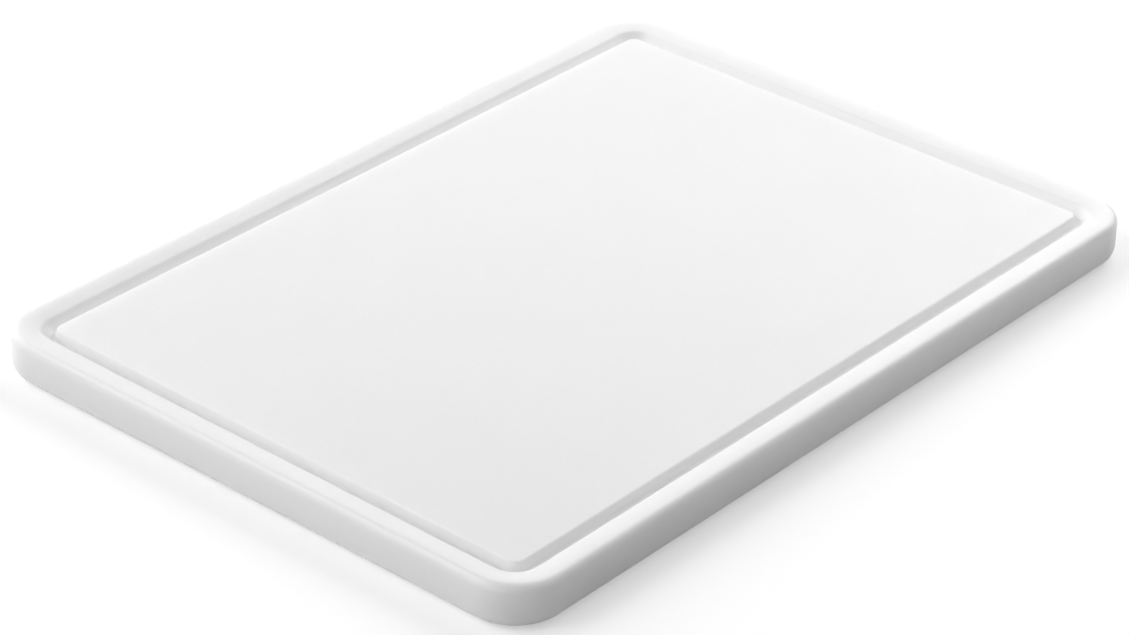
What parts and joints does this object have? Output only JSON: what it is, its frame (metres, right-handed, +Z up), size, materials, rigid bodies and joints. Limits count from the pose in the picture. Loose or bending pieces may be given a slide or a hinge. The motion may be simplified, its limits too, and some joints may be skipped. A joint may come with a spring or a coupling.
{
  "type": "cutting board",
  "caption": "Rectangular plastic cutting board with rounded corners, a raised rim and a juice groove round a flat cutting field.",
  "frame": {"origin": "middle of the board's underside, on the surface that it lies on", "axes": "+X along the long sides, +Y along the short sides, +Z up out of the cutting field"},
  "size_m": [0.35, 0.25, 0.017],
  "materials": {
    "white_polyethylene": "satin, with a faint tooling texture"
  },
  "bodies": {
    "root": {"cutting_board": "white_polyethylene"}
  },
  "joints": []
}
